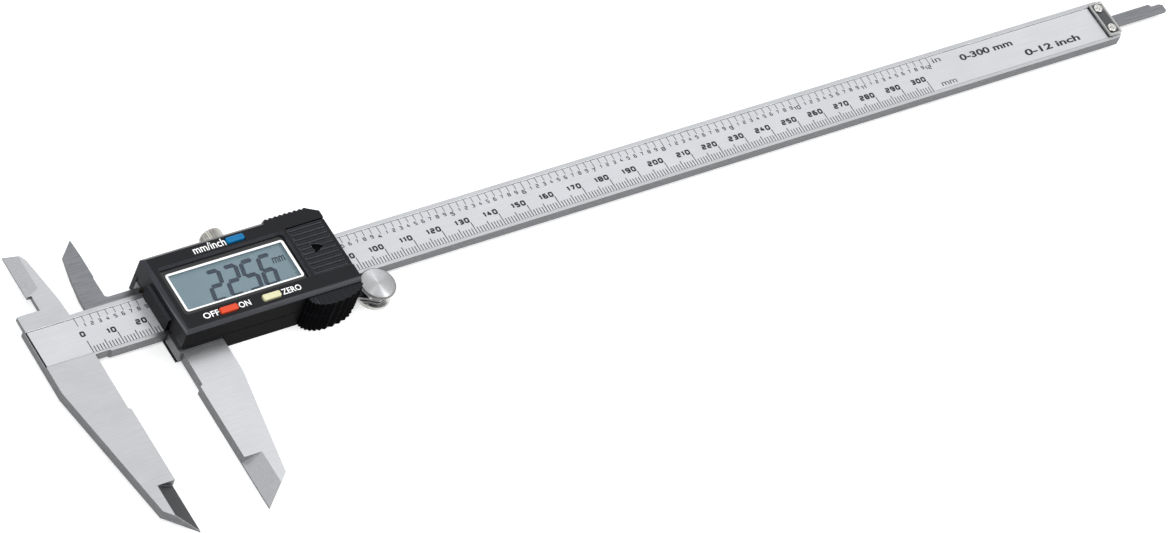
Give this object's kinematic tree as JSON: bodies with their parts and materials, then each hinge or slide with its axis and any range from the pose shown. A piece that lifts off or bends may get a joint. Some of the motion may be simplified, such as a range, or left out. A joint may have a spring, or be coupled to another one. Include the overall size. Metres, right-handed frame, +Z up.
{
  "type": "digital caliper",
  "caption": "Digital caliper with long outside jaws, short inside jaws, depth rod, thumb roller and a black sliding display unit on a slim steel beam.",
  "frame": {"origin": "centre of the bounding box's bottom face, on the plane that the caliper lies on", "axes": "+X along the beam towards its free end, +Y towards the inside jaws, +Z up out of the display"},
  "size_m": [0.4134, 0.1006, 0.0147],
  "materials": {
    "stainless": "ground stainless steel with a fine grain",
    "bright_nickel": "bright nickel plate, knurled or turned",
    "grey_plate": "dull grey steel sheet",
    "spring_steel": "rolled spring steel",
    "brass": "drawn brass",
    "silver_label": "silver foil with a clear coat and printed scale",
    "circuit_strip": "etched circuit strip",
    "black_abs": "moulded black plastic, fine satin texture",
    "clear_window": "clear flat window with a printed white line",
    "lcd_grey": "grey reflective display glass",
    "zebra_rubber": "striped conductive rubber",
    "board_green": "green solder mask",
    "tinned_contact": "tinned sheet metal",
    "key_blue": "blue moulded key",
    "key_red": "red moulded key",
    "key_cream": "pale cream moulded key"
  },
  "bodies": {
    "beam_body": {"beam": "stainless", "scale_circuit_strip": "circuit_strip", "scale_label": "silver_label", "beam_stop_plate": "grey_plate", "stop_plate_screw_1": "bright_nickel", "stop_plate_screw_2": "bright_nickel"},
    "slider": {"slider_frame": "stainless", "gib_strip": "brass", "gib_set_screw_1": "bright_nickel", "gib_set_screw_2": "bright_nickel", "slider_back_plate": "grey_plate", "depth_rod": "stainless", "depth_rod_rivet": "bright_nickel", "back_plate_screw_1": "bright_nickel", "back_plate_screw_2": "bright_nickel", "back_plate_screw_3": "bright_nickel", "back_plate_screw_4": "bright_nickel", "cover_screw_1": "bright_nickel", "cover_screw_2": "bright_nickel", "cover_screw_3": "bright_nickel", "cover_screw_4": "bright_nickel", "roller_bracket": "spring_steel", "bracket_screw": "bright_nickel", "roller_axle": "bright_nickel", "front_cover": "black_abs", "rear_shell": "black_abs", "display_window": "clear_window", "lcd_glass": "lcd_grey", "zebra_connector": "zebra_rubber", "circuit_board": "board_green", "board_screw_1": "bright_nickel", "board_screw_2": "bright_nickel", "board_screw_3": "bright_nickel", "board_screw_4": "bright_nickel", "switch_dome_mm_inch": "spring_steel", "switch_dome_off_on": "spring_steel", "switch_dome_zero": "spring_steel", "battery_cell": "tinned_contact", "battery_contact_below": "tinned_contact", "battery_contact_side": "tinned_contact"},
    "roller": {"thumb_roller": "bright_nickel"},
    "lock_pad_body": {"lock_pad": "brass"},
    "lock_knob": {"lock_screw": "bright_nickel"},
    "key_mm_inch": {"button_mm_inch": "key_blue"},
    "key_off_on": {"button_off_on": "key_red"},
    "key_zero": {"button_zero": "key_cream"},
    "battery_hatch": {"battery_cover": "black_abs"}
  },
  "joints": [
    {"name": "slider_travel", "type": "slide", "parent": "beam_body", "child": "slider", "axis": [1, 0, 0], "range_m": [-0.0225, 0.2824]},
    {"name": "roller_spin", "type": "hinge", "parent": "slider", "child": "roller", "pos_m": [-0.10029, 0.0053, 0.004], "axis": [0, 0, 1], "range_deg": [-260, 3040]},
    {"name": "lock_pad_press", "type": "slide", "parent": "slider", "child": "lock_pad_body", "axis": [0, -1, 0], "range_m": [-0.00055, 0.0002]},
    {"name": "lock_screw_turn", "type": "hinge", "parent": "lock_pad_body", "child": "lock_knob", "pos_m": [-0.13795, 0.02815, 0.00365], "axis": [0, -1, 0], "range_deg": [-360, 120]},
    {"name": "press_mm_inch", "type": "slide", "parent": "slider", "child": "key_mm_inch", "axis": [0, 0, -1], "range_m": [0, 0.0004], "stiffness_N_per_m": 800, "springref_m": -0.0004},
    {"name": "press_off_on", "type": "slide", "parent": "slider", "child": "key_off_on", "axis": [0, 0, -1], "range_m": [0, 0.0004], "stiffness_N_per_m": 800, "springref_m": -0.0004},
    {"name": "press_zero", "type": "slide", "parent": "slider", "child": "key_zero", "axis": [0, 0, -1], "range_m": [0, 0.0004], "stiffness_N_per_m": 800, "springref_m": -0.0004},
    {"name": "battery_hatch_slide", "type": "slide", "parent": "slider", "child": "battery_hatch", "axis": [1, 0, 0], "range_m": [0, 0.013]}
  ],
  "couplings": [
    {"joint": "roller_spin", "follows": "slider_travel", "rad_per_m": 186.92},
    {"joint": "lock_pad_press", "follows": "lock_screw_turn", "m_per_rad": 0.000079577}
  ]
}
